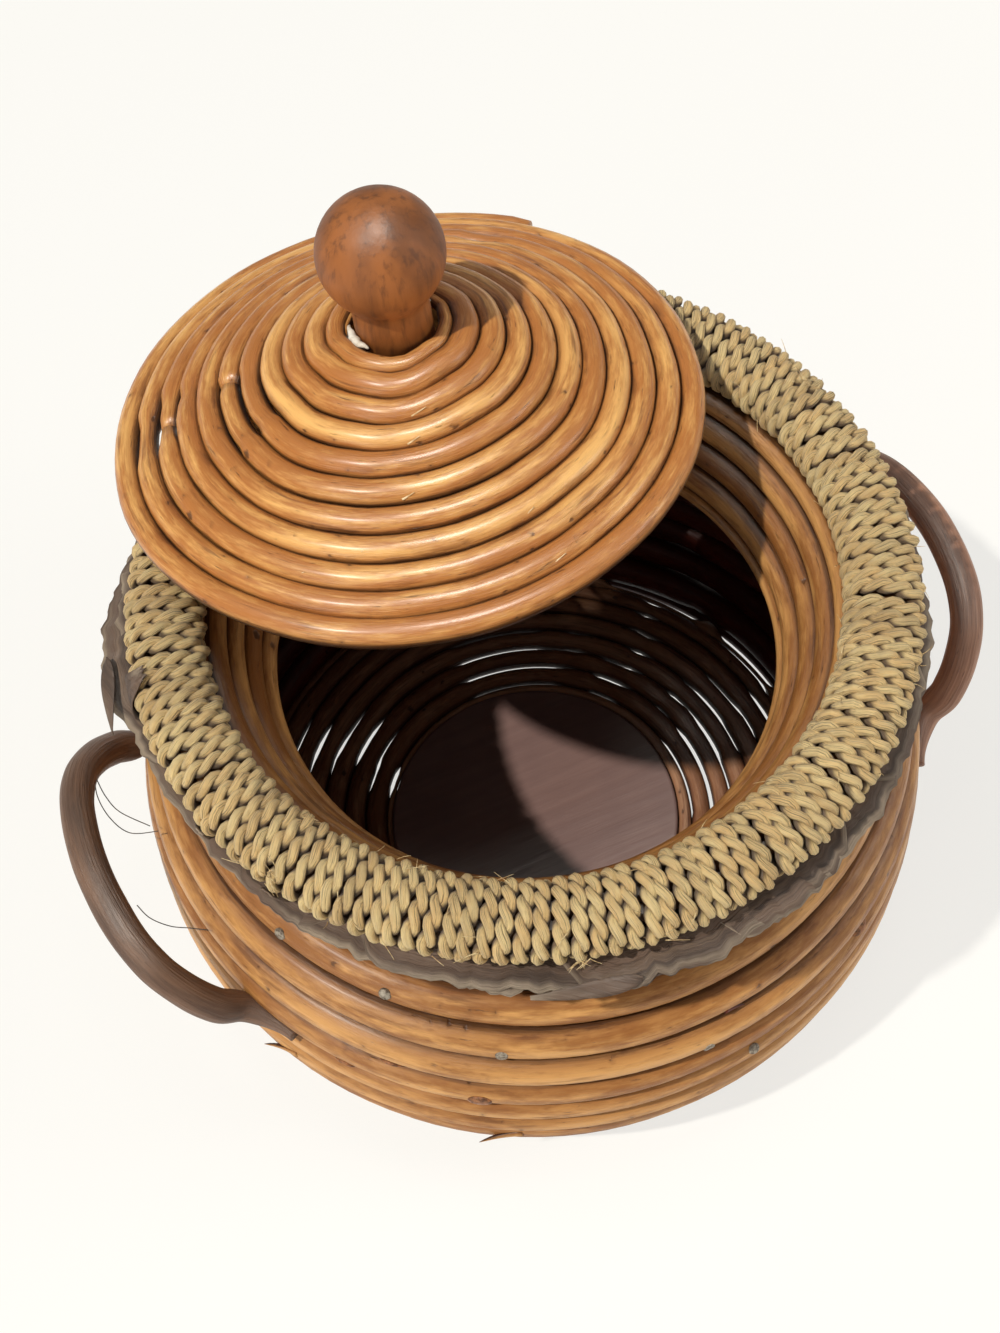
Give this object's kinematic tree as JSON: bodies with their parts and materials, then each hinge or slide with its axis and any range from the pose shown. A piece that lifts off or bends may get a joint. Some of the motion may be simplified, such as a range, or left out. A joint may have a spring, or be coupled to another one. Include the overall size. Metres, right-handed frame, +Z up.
{
  "type": "lidded reed basket",
  "caption": "Round-bellied coiled reed basket with a cord-bound rim, two bent cane side handles and a loose coiled cone lid with a ball knob, the lid lying askew on the rim.",
  "frame": {"origin": "centre of the floor board's underside, on the basket's own axis", "axes": "+Z up along the basket's axis, X through the two handles, -Y towards the viewer's side of the mouth"},
  "size_m": [0.3532, 0.3209, 0.2992],
  "materials": {
    "board": "satin",
    "reed": "satin",
    "lid_reed": "satin",
    "cord": "matte",
    "leaf": "matte",
    "cane": "satin",
    "knob": "satin",
    "screw": "brushed"
  },
  "bodies": {
    "basket": {"floor_board": "board", "floor_reed_inner": "reed", "floor_reed_outer": "reed", "wall_reed_foot": "reed", "wall_reed_belly": "reed", "wall_reed_upper": "reed", "wall_reed_shoulder": "reed", "neck_reed": "reed", "rim_hoop_inner": "reed", "rim_hoop_outer": "reed", "rim_cord": "cord", "rim_leaf": "leaf", "handle_right": "cane", "handle_left": "cane"},
    "lid": {"lid_reed_inner": "lid_reed", "lid_reed_middle": "lid_reed", "lid_reed_outer": "lid_reed", "lid_knob": "knob", "lid_knob_bar": "board", "lid_knob_screw": "screw"}
  },
  "joints": [
    {"name": "lid_lift", "type": "slide", "parent": "basket", "child": "lid", "axis": [0, 0, 1], "range_m": [0, 0.25]}
  ]
}
